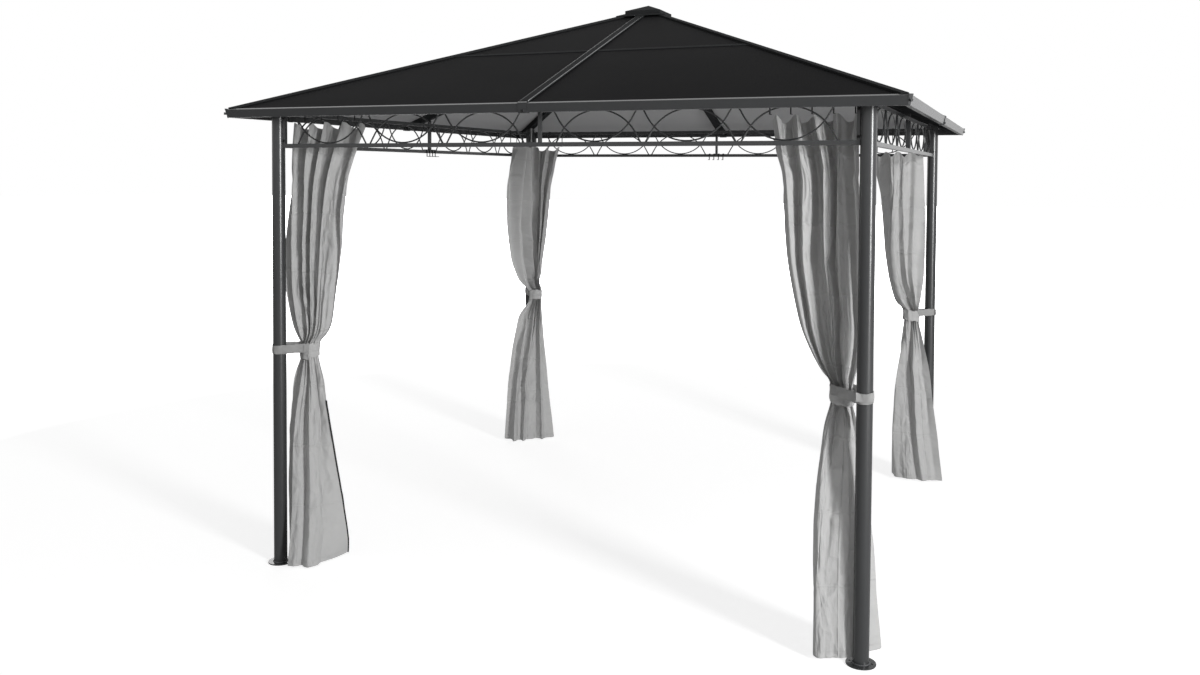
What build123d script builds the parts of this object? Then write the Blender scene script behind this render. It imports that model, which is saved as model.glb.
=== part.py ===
from build123d import *
import os
from math import sqrt, tan, radians, cos, sin

# A square hardtop gazebo: four round posts, a wire-scroll truss on each side, and a
# shallow hipped roof of plastic panels held in slotted rafters. Millimetres, +Z up, the
# origin on the ground at the middle, the front along -Y.

# Overall sizes
post_spacing = 2656          # centre to centre along a side
eave_overhang = 169          # from the posts' centres out to the eave beams' outer faces
eave_height = 2093           # the roof's plane above the ground, at the beams' outer faces
roof_rise = 580              # the roof's plane, from there up to the middle
clearance = 0.3              # left between two pieces that seat on each other

# Posts
post_diameter = 60
post_wall = 1.5
post_head_thickness = 5
foot_diameter = 112
foot_thickness = 5
foot_hole_diameter = 9
foot_hole_circle = 82

# Trusses between the posts
rail_size = 18               # square section
lower_rail_drop = 156        # from the roof's plane at the eave down to its centre line
rail_distance = 150          # between the centre lines of the lower and the upper rail
end_upright_width = 12
middle_upright_width = 12
wire_diameter = 7
arches_per_half = 3
arch_leg_angle = 60          # of a bent wire's straight legs, from the horizontal
arch_gap = 22                # between the feet of two arches
arch_margin = 68             # from the last foot to the upright
hanging_arch_shift = 14      # the hanging arches stand this far to one side
weld = 1                     # how deep a wire runs into the rail that it is welded to

# Slotted bars of the roof
rafter_width = 38
rafter_depth = 40            # below the roof's plane
rafter_cover = 8             # above it
purlin_width = 22
purlin_depth = 24
purlin_cover = 3
slot_depth = 7
panel_thickness = 6
panel_edge_gap = 0.6         # between a panel's edge and the bottom of its slot

# Eave beams, the covers over their joints and the corner pieces
beam_width = 28
beam_depth = 32              # below the roof's plane at the outer face
beam_lean = 8                # how far in the face comes from top to bottom
beam_lip = 14                # reach of the lip over the panel's edge
beam_lip_thickness = 3
beam_face_thickness = 4
joiner_width = 40
joiner_thickness = 3
corner_chamfer = 12
knob_diameter = 11
knob_length = 8
knob_drop = 14               # below the roof's plane at the eave
knob_sunk = 3                # how far its shank is in the corner piece, measured along X

# Hub and cap at the top
hub_sides = 8
hub_radius = 60              # to its flat faces
hub_margin = 5               # how far the hub reaches below the rafters
cap_sheet = 4
cap_lower_half = 132
cap_upper_half = 95
cap_rise = 27                # the very top, above the peak of the roof's plane

# Curtains, tie-backs and hooks
curtain_arms = {             # reach along the front or back rail, and along the side rail
    "front_right": (370, 120),
    "back_right": (320, 120),
    "back_left": (245, 320),
    "front_left": (410, 120),
}
curtain_drops = {            # top edge, below the upper rail's centre line
    "front_right": 42,
    "back_right": 130,
    "back_left": 90,
    "front_left": 42,
}
curtain_bottom = 14
curtain_inset = 25           # from the lines between the posts to the cloth
curtain_depth = 110          # of the gathered cloth at the top
curtain_waist_radius = 55
curtain_waist_offset = 70    # from the cloth's outer corner to the middle of the waist
curtain_hem_reach = 245
curtain_hem_outset = 30      # the hem stands this far out past the cloth's top
tie_height = 985
tie_width = 62
tie_thickness = 2.5
hook_thickness = 3
hook_width = 5
hook_pitch = 90              # roughly, between the hooks of one curtain
hook_margin = 25             # from the end of the gathered cloth to the first hook
spare_hook_pitch = 30
spare_hooks = 4
spare_hook_drop = 20         # below the rail
hook_toe = 35                # reach of the toe, from the rail's centre line

# Values worked out from those above
post_place = post_spacing / 2
eave_half = post_place + eave_overhang
slope = roof_rise / eave_half
hip_fall = slope / sqrt(2)                       # fall of the roof away from a hip, in plan
panel_drop = panel_thickness * sqrt(1 + slope**2)    # the panel's thickness, measured upright
roof_peak = eave_height + roof_rise
purlin_place = eave_half / 2                     # in plan, from the middle of the roof
lower_rail_height = eave_height - lower_rail_drop
upper_rail_height = lower_rail_height + rail_distance
lower_rail_top = lower_rail_height + rail_size / 2
lower_rail_bottom = lower_rail_height - rail_size / 2
upper_rail_bottom = upper_rail_height - rail_size / 2
web_half = rafter_width / 2 - slot_depth
purlin_web_half = purlin_width / 2 - slot_depth
outer_half = eave_half + joiner_thickness
corner_leg = joiner_thickness + beam_lip         # the corner piece ends where the hips' covers do
rafter_end = eave_half - beam_width - clearance
cover_end = eave_half - beam_lip - clearance

on_its_base = (Align.CENTER, Align.CENTER, Align.MIN)
sides = {"front": 0, "right": 90, "back": 180, "left": 270}
corners = {"front_right": 0, "back_right": 90, "back_left": 180, "front_left": 270}


def roof_height(distance):
    """Height of the roof's plane at a distance from the middle, in plan."""
    return roof_peak - slope * distance


def outline(points, plane=Plane.XY):
    """Flat face with straight sides through the points of a plane."""
    with BuildSketch(plane) as sketch:
        with BuildLine():
            Polyline(*points, close=True)
        make_face()
    return sketch.sketch


def plan_prism(points, bottom, top):
    """Upright prism over an outline in plan."""
    return extrude(outline(points, Plane.XY.offset(bottom)), amount=top - bottom)


def under_roof(offset, half, depth=roof_peak):
    """Solid whose top follows the four roof planes, raised by an offset."""
    rim = roof_height(half) + offset
    base = Plane.XY.offset(rim) * Rectangle(2 * half, 2 * half)
    peak = Vertex(0, 0, roof_peak + offset)
    pyramid = loft([base.face(), peak])
    return pyramid + extrude(base, amount=-depth)


def slotted_profile(width, cover, depth=None):
    """Outline of a bar with a slot in each side, as points about the roof's plane.

    Without a depth it is the cover and the web alone, and ends at the slots' bottom.
    """
    half = width / 2
    web = half - slot_depth
    slot_bottom = -panel_drop - clearance
    right = [(0, cover), (half, cover), (half, clearance), (web, clearance), (web, slot_bottom)]
    if depth is None:
        right += [(0, slot_bottom)]
    else:
        right += [(half, slot_bottom), (half, -depth), (0, -depth)]
    left = [(-x, z) for x, z in reversed(right[1:-1])]
    return right + left


# Posts


def post():
    """Round post with a foot plate and a sloping head that the hip rafter rests on."""
    middle = (post_place, -post_place)
    head = -rafter_depth - clearance
    radius = post_diameter / 2
    blank = Pos(*middle, 0) * Cylinder(radius, roof_peak, align=on_its_base)
    bore = Pos(*middle, foot_thickness) * Cylinder(radius - post_wall, roof_peak, align=on_its_base)
    tube = blank & under_roof(head, eave_half)
    tube -= bore & under_roof(head - post_head_thickness, eave_half)
    bolt_holes = PolarLocations(foot_hole_circle / 2, 2) * Circle(foot_hole_diameter / 2)
    plate = Circle(foot_diameter / 2) - bolt_holes
    return tube + Pos(*middle, 0) * extrude(plate, amount=foot_thickness)


# Trusses


def arch_path(middle, foot_x, foot_height, crown_height):
    """Centre line of one bent wire: two straight legs and a round crown, seen from the front.

    Its feet stand foot_x to each side of the middle, and the crown's radius follows from that.
    """
    turn = radians(arch_leg_angle)
    up = 1 if crown_height > foot_height else -1
    rise = abs(crown_height - foot_height)
    radius = (foot_x - rise / tan(turn)) / (sin(turn) - (1 - cos(turn)) / tan(turn))
    shoulder_x = radius * sin(turn)
    shoulder_z = crown_height - up * radius * (1 - cos(turn))
    line = Polyline((middle - foot_x, foot_height), (middle - shoulder_x, shoulder_z))
    crown = ThreePointArc(
        (middle - shoulder_x, shoulder_z), (middle, crown_height), (middle + shoulder_x, shoulder_z)
    )
    other = Polyline((middle + shoulder_x, shoulder_z), (middle + foot_x, foot_height))
    return Plane.XZ * (line + crown + other)


def bent_wire(middle, foot_x, foot_height, crown_height):
    """Round wire along an arch, as a bar of six sides."""
    path = arch_path(middle, foot_x, foot_height, crown_height)
    start = path @ 0
    section = Plane(start, x_dir=(0, 1, 0), z_dir=path % 0) * RegularPolygon(wire_diameter / 2, 6)
    return sweep(section, path=path)


def truss_half(direction):
    """Half of a side's truss, from its middle upright to the post, with its scrollwork."""
    inner = middle_upright_width / 2 + clearance
    outer = post_place - post_diameter / 2 - clearance
    rail_end = outer - end_upright_width
    bottom = lower_rail_bottom
    top = upper_rail_height + rail_size / 2
    end_upright = Box(end_upright_width, rail_size, top - bottom)
    half = Pos((outer + rail_end) / 2, 0, (bottom + top) / 2) * end_upright
    rail = Box(rail_end - inner + weld, rail_size, rail_size)
    for height in (lower_rail_height, upper_rail_height):
        half += Pos((inner + rail_end + weld) / 2, 0, height) * rail
    low = lower_rail_top - weld
    high = upper_rail_bottom + weld
    gaps = 2 * arch_margin + (arches_per_half - 1) * arch_gap
    arch_width = (rail_end - inner - gaps) / arches_per_half
    hung = direction * hanging_arch_shift
    for index in range(arches_per_half):
        middle = inner + arch_margin + arch_width / 2 + index * (arch_width + arch_gap)
        half += bent_wire(middle, arch_width / 2, low, high - wire_diameter / 2)
        half += bent_wire(middle - hung, arch_width / 2, high, low + wire_diameter / 2)
    if direction < 0:
        half = half.mirror(Plane.YZ)
    return Pos(0, -post_place, 0) * half


def middle_upright():
    """Upright between the two halves of a truss, up to the side rafter."""
    bottom = lower_rail_bottom
    top = roof_height(post_place) - rafter_depth - slope * rail_size / 2 - clearance
    bar = Box(middle_upright_width, rail_size, top - bottom, align=on_its_base)
    return Pos(0, -post_place, bottom) * bar


def truss():
    """Both halves and the middle upright of one side."""
    solids = []
    for direction in (-1, 1):
        solids += truss_half(direction).solids()
    solids += middle_upright().solids()
    return solids


# Roof frame


def bar_from_hub(profile, outward, fall, length):
    """Bar that runs down the roof from the hub's face, its ends upright."""
    start = hub_radius + clearance
    origin = Vector(*outward, 0) * start + Vector(0, 0, roof_peak - fall * start)
    across = Vector(-outward[1], outward[0], 0)
    section = outline(profile, Plane(origin, x_dir=across, z_dir=Vector(*outward, 0)))
    travel = (Vector(*outward, 0) - Vector(0, 0, fall)) * length
    return Solid.extrude(section.face(), travel)


def hip_rafter():
    """Hip rafter, its end an arrow that fits into the corner of the eave beams."""
    outward = (1 / sqrt(2), -1 / sqrt(2))
    bars = []
    for depth, end in ((rafter_depth, rafter_end), (None, cover_end)):
        profile = slotted_profile(rafter_width, rafter_cover, depth)
        ridged = [(x, z - hip_fall * abs(x)) for x, z in profile]
        bar = bar_from_hub(ridged, outward, hip_fall, eave_half * sqrt(2))
        bars.append(bar & Pos(0, 0, roof_peak) * Box(2 * end, 2 * end, 2 * roof_peak))
    return bars[0] + bars[1]


def side_rafter():
    """Rafter from the hub to the middle of an eave beam."""
    start = hub_radius + clearance
    body = slotted_profile(rafter_width, rafter_cover, rafter_depth)
    top = slotted_profile(rafter_width, rafter_cover)
    bar = bar_from_hub(body, (0, -1), slope, rafter_end - start)
    return bar + bar_from_hub(top, (0, -1), slope, cover_end - start)


def purlin_half():
    """Level bar between a side rafter and a hip rafter, under the joint of two panels."""
    profile = slotted_profile(purlin_width, purlin_cover, purlin_depth)
    points = [(-(purlin_place + x), roof_height(purlin_place + x) + z) for x, z in profile]
    bar = extrude(outline(points, Plane.YZ), amount=eave_half)
    near = rafter_width / 2 + clearance
    hip_gap = near * sqrt(2)
    region = plan_prism(
        [(near, -near - hip_gap), (eave_half - hip_gap, -eave_half), (near, -eave_half)],
        eave_height,
        roof_peak,
    )
    return bar & region


def panel(lower_edge, upper_edge):
    """One plastic panel between a side rafter and a hip, from one distance to another."""
    near = web_half + panel_edge_gap
    hip_gap = near * sqrt(2)
    corners_in_plan = [
        (near, lower_edge),
        (lower_edge - hip_gap, lower_edge),
        (upper_edge - hip_gap, upper_edge),
        (near, upper_edge),
    ]
    points = [Vector(x, -distance, roof_height(distance)) for x, distance in corners_in_plan]
    sheet = Face(Wire.make_polygon(points))
    return Solid.extrude(sheet, Vector(0, 0, -panel_drop))


def roof_panels():
    """The four panels of one roof face: two below the purlin and two above it."""
    eave_edge = eave_half - beam_face_thickness - panel_edge_gap
    joint = purlin_web_half + panel_edge_gap
    right = [
        panel(eave_edge, purlin_place + joint),
        panel(purlin_place - joint, hub_radius + clearance + panel_edge_gap),
    ]
    return right + [piece.mirror(Plane.YZ) for piece in right]


# Eaves


def beam_half():
    """Half of an eave beam, with a leaning face, a slot for the panels and a mitred end."""
    drop = panel_drop + clearance
    section = [
        (0, beam_lip_thickness),
        (beam_lip, slope * beam_lip + beam_lip_thickness),
        (beam_lip, slope * beam_lip + clearance),
        (beam_face_thickness, slope * beam_face_thickness + clearance),
        (beam_face_thickness, slope * beam_face_thickness - drop),
        (beam_width, slope * beam_width - drop),
        (beam_width, -beam_depth),
        (beam_lean, -beam_depth),
    ]
    points = [(-eave_half + inward, eave_height + height) for inward, height in section]
    bar = extrude(outline(points, Plane.YZ), amount=eave_half)
    split = clearance / 2
    end = outer_half - corner_leg - clearance
    inner = eave_half - 2 * beam_width
    mitred = [
        (split, -outer_half),
        (end, -outer_half),
        (end, -end - clearance),
        (inner, -inner - clearance),
        (split, -inner),
    ]
    return bar & plan_prism(mitred, eave_height - 2 * beam_depth, eave_height + 2 * beam_depth)


def eave_joiner():
    """Bent plate that covers the joint in the middle of an eave beam."""
    outside = joiner_thickness + clearance
    lip = beam_lip_thickness + clearance
    section = [
        (-joiner_thickness, lip + joiner_thickness),
        (beam_lip - clearance, slope * beam_lip + lip + joiner_thickness),
        (beam_lip - clearance, slope * beam_lip + lip),
        (-clearance, lip),
        (beam_lean - clearance, -beam_depth - clearance),
        (beam_width, -beam_depth - clearance),
        (beam_width, -beam_depth - outside),
        (beam_lean - joiner_thickness, -beam_depth - outside),
    ]
    points = [(-eave_half + inward, eave_height + height) for inward, height in section]
    return extrude(outline(points, Plane.YZ), amount=joiner_width / 2, both=True)


def eave_corner():
    """Chamfered end piece at a corner of the eaves, with the knob of its bolt."""
    top = eave_height + rafter_cover
    depth = beam_depth + rafter_cover + joiner_thickness
    lean = beam_lean * depth / (beam_depth + beam_lip_thickness)
    plan = [
        (outer_half - corner_chamfer, -outer_half),
        (outer_half - 2 * corner_leg, -outer_half),
        (outer_half - 2 * corner_leg, -outer_half + 2 * corner_leg),
        (outer_half, -outer_half + 2 * corner_leg),
        (outer_half, -outer_half + corner_chamfer),
    ]
    block = Solid.extrude(outline(plan, Plane.XY.offset(top)).face(), Vector(-lean, lean, -depth))
    inner = outer_half - corner_leg
    block &= plan_prism(
        [(inner, -outer_half), (outer_half, -outer_half), (outer_half, -inner), (inner, -inner)],
        top - depth,
        top,
    )
    axis_place = outer_half - corner_chamfer / 2 - beam_lean * knob_drop / beam_depth
    knob_plane = Plane(
        (axis_place - knob_sunk, -axis_place + knob_sunk, eave_height - knob_drop),
        x_dir=(1, 1, 0),
        z_dir=(1, -1, 0),
    )
    knob = knob_plane * Cylinder(
        knob_diameter / 2,
        knob_sunk * sqrt(2) + knob_length,
        align=on_its_base,
    )
    return block + knob


# Top of the roof


def apex_hub():
    """Eight-sided hub that the rafters meet at."""
    bottom = roof_height(hub_radius) - rafter_depth - hub_margin
    plan = RegularPolygon(hub_radius, hub_sides, major_radius=False, rotation=180 / hub_sides)
    prism = Plane.XY.offset(bottom) * extrude(plan, amount=2 * rafter_depth)
    return prism & under_roof(rafter_cover, cap_lower_half)


def roof_cap():
    """Cap in two tiers: a sheet on the rafters and a raised pyramid over it."""
    seat = rafter_cover + clearance
    lower = under_roof(seat + cap_sheet, cap_lower_half, cap_sheet + 2 * rafter_cover)
    upper = under_roof(cap_rise, cap_upper_half, cap_rise)
    hollow = under_roof(seat, 2 * cap_lower_half)
    return (lower + upper) - hollow


# Curtains and what holds them


def curtain_ring(points, height):
    """Ring of points at one height, given by their distances in from the cloth's outer corner."""
    origin = post_place - curtain_inset
    return [(origin - u, -origin + v, height) for u, v in points]


def curtain_top_points(reach_x, reach_y):
    """Outline of the gathered cloth at the rails: a strip along both of them."""
    depth = curtain_depth
    halfway_x = (reach_x + depth) / 2
    halfway_y = (reach_y + depth) / 2
    return [
        (0, 0),
        (halfway_x, 0),
        (reach_x, 0),
        (reach_x, depth),
        (halfway_x, depth),
        (depth, depth),
        (depth, halfway_y),
        (depth, reach_y),
        (0, reach_y),
        (0, halfway_y),
    ]


def curtain_waist_points():
    """Outline of the cloth inside its tie: points round a circle, from the outer corner."""
    count = len(curtain_top_points(0, 0))
    angles = [radians(225 + 360 * index / count) for index in range(count)]
    middle, radius = curtain_waist_offset, curtain_waist_radius
    return [(middle + radius * cos(angle), middle + radius * sin(angle)) for angle in angles]


def curtain_hem_points():
    """Outline of the hem, which flares out past the post on both sides."""
    reach, outset = curtain_hem_reach, curtain_hem_outset
    bevel = 3 * reach / 4
    return [
        (0, 0),
        (2 * outset, -outset),
        (reach / 2, -outset),
        (reach, -outset),
        (reach, reach / 3),
        (bevel, bevel),
        (reach / 3, reach),
        (-outset, reach),
        (-outset, reach / 2),
        (-outset, 2 * outset),
    ]


def solid_through(rings):
    """Closed solid with flat three-sided faces between rings of the same number of points."""
    faces = [Face(Wire.make_polygon(rings[0])), Face(Wire.make_polygon(rings[-1]))]
    for below, above in zip(rings, rings[1:]):
        for index, corner in enumerate(below):
            faces.append(Face(Wire.make_polygon([below[index - 1], corner, above[index]])))
            faces.append(Face(Wire.make_polygon([below[index - 1], above[index], above[index - 1]])))
    return Solid(Shell(faces))


def curtain_top(corner):
    """Height of a curtain's top edge."""
    return upper_rail_height - curtain_drops[corner]


def local_arms(corner):
    """A curtain's reach along X and along Y before it is turned into its corner."""
    arms = curtain_arms[corner]
    return arms if corners[corner] % 180 == 0 else arms[::-1]


def curtain(corner):
    """Gathered curtain: spread along the rails, drawn in at the tie, flared at the hem."""
    rings = [
        curtain_ring(curtain_hem_points(), curtain_bottom),
        curtain_ring(curtain_waist_points(), tie_height - tie_width / 2),
        curtain_ring(curtain_waist_points(), tie_height + tie_width / 2),
        curtain_ring(curtain_top_points(*local_arms(corner)), curtain_top(corner)),
    ]
    return solid_through(rings)


def tie_back():
    """Band round the gathered cloth and round the post, with the strap between them."""
    waist_inner = curtain_waist_radius + clearance
    waist_outer = waist_inner + tie_thickness
    post_inner = post_diameter / 2 + clearance
    post_outer = post_inner + tie_thickness
    waist_place = post_place - curtain_inset - curtain_waist_offset
    between = (post_place - waist_place) * sqrt(2)
    with BuildSketch() as sketch:
        Circle(post_outer)
        with Locations((-between, 0)):
            Circle(waist_outer)
        with Locations((-between / 2, 0)):
            Rectangle(between, 2 * tie_thickness)
        Circle(post_inner, mode=Mode.SUBTRACT)
        with Locations((-between, 0)):
            Circle(waist_inner, mode=Mode.SUBTRACT)
    band = extrude(sketch.sketch, amount=tie_width)
    return Pos(post_place, -post_place, tie_height - tie_width / 2) * Rot(0, 0, -45) * band


def rail_hook(rail_height, toe_height):
    """Flat hook over a rail, down its inner side, with a toe that reaches in over the cloth."""
    half = rail_size / 2 + clearance
    outer = half + hook_thickness
    toe_bottom = toe_height - rail_height
    section = [
        (-outer, 0),
        (-outer, outer),
        (outer, outer),
        (outer, toe_bottom + hook_thickness),
        (hook_toe, toe_bottom + hook_thickness),
        (hook_toe, toe_bottom),
        (half, toe_bottom),
        (half, half),
        (-half, half),
        (-half, 0),
    ]
    points = [(-post_place + inward, rail_height + height) for inward, height in section]
    return extrude(outline(points, Plane.YZ), amount=hook_width / 2, both=True)


def hooks_over_curtain(corner):
    """Hooks of one curtain, evenly along each rail that it is spread along."""
    start = post_place - curtain_inset - hook_margin
    hook = rail_hook(upper_rail_height, curtain_top(corner) + clearance)
    hooks = []
    for turn, reach in zip((0, 90), local_arms(corner)):
        span = reach - 2 * hook_margin
        steps = round(span / hook_pitch)
        if steps < 2:
            continue
        first = 1 if hooks else 0        # the hook at the corner serves both rails
        for index in range(first, steps + 1):
            place = start - index * span / steps
            along = -place if turn else place
            hooks.append((Pos(along, 0, 0) * hook).rotate(Axis.Z, turn))
    return hooks


def rail_hooks():
    """All the hooks: those over the curtains and a row at the middle of two lower rails."""
    hooks = []
    for corner, turn in corners.items():
        hooks += turned(hooks_over_curtain(corner), turn)
    spare = rail_hook(lower_rail_height, lower_rail_bottom - spare_hook_drop)
    for side in ("back", "left"):
        for index in range(spare_hooks):
            x = (index - (spare_hooks - 1) / 2) * spare_hook_pitch
            hooks.append((Pos(x, 0, 0) * spare).rotate(Axis.Z, sides[side]))
    return hooks


def save(name, pieces):
    """Write the solids of one node to its file."""
    solids = []
    for piece in pieces:
        solids += piece.solids()
    shape = solids[0] if len(solids) == 1 else Compound(children=solids)
    export_step(shape, f"parts/{name}.step")


def turned(pieces, angle):
    """The same pieces, turned about the upright through the middle."""
    return [piece.rotate(Axis.Z, angle) for piece in pieces]


os.makedirs("parts", exist_ok=True)

corner_nodes = {
    "post": [post()],
    "hip_rafter": [hip_rafter()],
    "eave_corner": [eave_corner()],
    "tie_back": [tie_back()],
}
half_beam = beam_half()
half_purlin = purlin_half()
side_nodes = {
    "truss": truss(),
    "eave_beam": [half_beam, half_beam.mirror(Plane.YZ)],
    "side_rafter": [side_rafter()],
    "purlin": [half_purlin, half_purlin.mirror(Plane.YZ)],
    "roof_panels": roof_panels(),
}
for kind, pieces in corner_nodes.items():
    for corner, angle in corners.items():
        save(f"{kind}_{corner}", turned(pieces, angle))
for corner, angle in corners.items():
    save(f"curtain_{corner}", turned([curtain(corner)], angle))
for kind, pieces in side_nodes.items():
    for side, angle in sides.items():
        save(f"{kind}_{side}", turned(pieces, angle))
joiner = eave_joiner()
save("eave_joiners", [joiner.rotate(Axis.Z, angle) for angle in sides.values()])
save("apex_hub", [apex_hub()])
save("roof_cap", [roof_cap()])
save("rail_hooks", rail_hooks())
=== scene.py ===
"""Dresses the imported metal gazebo: finishes, curtains, tie-backs, fasteners, camera and light."""

import logging
import math
from dataclasses import dataclass
from enum import Enum
from typing import Any, Optional, Sequence

import bpy
import numpy as np
from bpy.types import Material, Node, NodeSocket, NodeTree, Object
from mathutils import Matrix


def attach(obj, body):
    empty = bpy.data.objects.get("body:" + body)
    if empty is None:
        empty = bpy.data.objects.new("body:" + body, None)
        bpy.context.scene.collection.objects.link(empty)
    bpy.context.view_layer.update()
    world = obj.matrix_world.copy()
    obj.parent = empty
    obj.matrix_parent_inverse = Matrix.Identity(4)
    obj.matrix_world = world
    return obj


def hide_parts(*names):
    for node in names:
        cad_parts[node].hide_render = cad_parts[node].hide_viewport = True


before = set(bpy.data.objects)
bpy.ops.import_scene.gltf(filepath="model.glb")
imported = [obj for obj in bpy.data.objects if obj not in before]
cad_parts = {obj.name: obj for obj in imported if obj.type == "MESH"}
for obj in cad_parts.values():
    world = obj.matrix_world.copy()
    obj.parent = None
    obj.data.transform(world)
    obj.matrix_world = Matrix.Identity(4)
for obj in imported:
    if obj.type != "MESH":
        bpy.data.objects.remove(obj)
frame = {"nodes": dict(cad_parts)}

log = logging.getLogger("gazebo")

Point = tuple[float, float]
Triple = tuple[float, float, float]
MM = 0.001
# Millimetres from the middle line to a post's axis, and to where the corners' own axes start.
POST = 1328.0
ORIGIN = 1303.0
# A post's axis on its corner's own axes.
POST_PLACE = np.full(2, ORIGIN - POST)
WHITE = (1.0, 1.0, 1.0, 1.0)
# Turns rows of x, y and z by a quarter about the upright axis.
QUARTER_TURN = np.array([[0.0, 1.0, 0.0], [-1.0, 0.0, 0.0], [0.0, 0.0, 1.0]])


def linear(colour: str) -> tuple[float, float, float, float]:
    """Turns an sRGB hex colour into the linear RGBA that a shader socket takes."""
    parts = [int(colour[i:i + 2], 16) / 255 for i in (1, 3, 5)]
    red, green, blue = (
        part / 12.92 if part <= 0.04045 else ((part + 0.055) / 1.055) ** 2.4 for part in parts
    )
    return red, green, blue, 1.0


def per_metre(millimetres: float) -> float:
    """Pattern scale that repeats once in a real length given in millimetres."""
    return 1.0 / (millimetres * MM)


def add_node(
    tree: NodeTree, kind: str, inputs: Optional[dict[Any, Any]] = None, **settings: Any
) -> Node:
    """Adds one node with its settings, constants and links.

    Args:
        tree: The tree that the node goes into.
        kind: The node's class after ShaderNode, such as Bump.
        inputs: What goes into input sockets, by name or number: a constant or another node's
            output socket.
        settings: Attributes of the node.

    Returns:
        The new node.
    """
    node = tree.nodes.new(f"ShaderNode{kind}")
    for key, value in settings.items():
        setattr(node, key, value)
    for key, value in (inputs or {}).items():
        if isinstance(value, NodeSocket):
            tree.links.new(value, node.inputs[key])
        else:
            node.inputs[key].default_value = value
    return node


def noise(tree: NodeTree, vector: Any, scale: float, detail: float, rough: float = 0.5) -> Node:
    """Adds a noise over a vector socket, with its scale in repeats a metre."""
    inputs = {"Vector": vector, "Scale": scale, "Detail": detail, "Roughness": rough}
    return add_node(tree, "TexNoise", inputs)


def maths(tree: NodeTree, operation: str, *terms: Any) -> NodeSocket:
    """Adds a maths node over its terms, each a number or an output socket."""
    return add_node(tree, "Math", dict(enumerate(terms)), operation=operation).outputs[0]


def ranged(tree: NodeTree, *terms: Any, **settings: Any) -> NodeSocket:
    """Adds a map range over a value, its two old ends and, where given, its two new ends."""
    return add_node(tree, "MapRange", dict(enumerate(terms)), **settings).outputs[0]


def blend(tree: NodeTree, share: Any, first: Any, second: Any) -> NodeSocket:
    """Blends two colours, each a hex colour or an output socket, by a grey socket."""
    colours = (linear(one) if isinstance(one, str) else one for one in (first, second))
    inputs = {0: share, **dict(enumerate(colours, 6))}
    return add_node(tree, "Mix", inputs, data_type="RGBA").outputs[2]


def bumped(
    tree: NodeTree, height: Any, strength: float, distance: float, under: Any = None
) -> NodeSocket:
    """Adds a bump of a height socket, over the normal of an earlier bump if one is given."""
    inputs = {"Height": height, "Strength": strength, "Distance": distance}
    if under is not None:
        inputs["Normal"] = under
    return add_node(tree, "Bump", inputs).outputs["Normal"]


def new_material(name: str) -> tuple[Material, NodeTree]:
    """Makes an empty material, and returns it with its node tree."""
    material = bpy.data.materials.new(name)
    material.use_nodes = True
    material.node_tree.nodes.clear()
    return material, material.node_tree


def shaded(material: Material, shader: Node) -> Material:
    """Adds the output node, fed by a shader node, and returns the material."""
    add_node(material.node_tree, "OutputMaterial", {"Surface": shader.outputs[0]})
    return material


@dataclass(frozen=True)
class PowderCoat:
    """Polyester powder coat on steel: satin, faintly orange-peeled, a touch uneven in tone."""

    name: str = "anthracite_powder_coat"
    shade: str = "#353637"
    light_shade: str = "#3b3c3d"
    roughness: float = 0.25
    shine: float = 0.55
    peel: float = 3.0
    cloud: float = 260.0

    def material(self) -> Material:
        """Builds the coat: cloudy tone, orange peel in the bump and in the gloss."""
        material, tree = new_material(self.name)
        place = add_node(tree, "TexCoord").outputs["Object"]
        cloud = noise(tree, place, per_metre(self.cloud), 4.0, 0.6).outputs["Fac"]
        # The peel of a real coat is under 1 mm across. It is drawn coarser, so that it shows.
        peel = noise(tree, place, per_metre(self.peel), 2.0).outputs["Fac"]
        gloss = ranged(tree, peel, 0.3, 0.7, self.roughness - 0.015, self.roughness + 0.02)
        inputs = {
            "Base Color": blend(tree, cloud, self.shade, self.light_shade),
            "Roughness": gloss,
            "IOR": 1.5,
            "Specular IOR Level": self.shine,
            "Normal": bumped(tree, peel, 0.05, 0.0003),
        }
        return shaded(material, add_node(tree, "BsdfPrincipled", inputs))


@dataclass(frozen=True)
class RoofSheet:
    """Extruded twin-wall polycarbonate: smoked film on top, with a pale colour on its lower face as
    painted light shining through.
    """

    name: str
    along: Triple
    shade: str = "#111112"
    light_shade: str = "#181819"
    painted_light_through: str = "#b0b0b1"
    flute: float = 11.0
    mottle: float = 24.0

    def material(self) -> Material:
        """Builds the sheet: its flutes run down the roof, and its lower face is painted pale, as
        painted light shining through.
        """
        material, tree = new_material(self.name)
        place = add_node(tree, "TexCoord")
        spot = place.outputs["Object"]
        mottle = noise(tree, spot, per_metre(self.mottle), 5.0, 0.7).outputs["Fac"]
        cloud = noise(tree, spot, 1.6, 2.0).outputs["Fac"]
        share = ranged(tree, maths(tree, "MULTIPLY_ADD", mottle, 0.5, cloud), 0.5, 1.0)
        top = blend(tree, share, self.shade, self.light_shade)
        # The walls inside the sheet stand 11 mm apart and show as faint ribs.
        across = add_node(
            tree, "VectorMath", {0: spot, 1: self.along}, operation="DOT_PRODUCT"
        ).outputs["Value"]
        turns = maths(tree, "MULTIPLY", across, 2 * math.pi * per_metre(self.flute))
        facing = add_node(tree, "SeparateXYZ", {0: place.outputs["Normal"]})
        # Faces that turn down take a pale colour in place of the light that shines through the
        # sheet: painted light.
        painted_light_face = maths(tree, "LESS_THAN", facing.outputs["Z"], -0.3)
        inputs = {
            "Base Color": blend(tree, painted_light_face, top, self.painted_light_through),
            "Roughness": 0.5,
            "IOR": 1.58,
            "Specular IOR Level": 0.006,
            "Normal": bumped(tree, maths(tree, "SINE", turns), 0.1, 0.0008),
        }
        return shaded(material, add_node(tree, "BsdfPrincipled", inputs))


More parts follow.
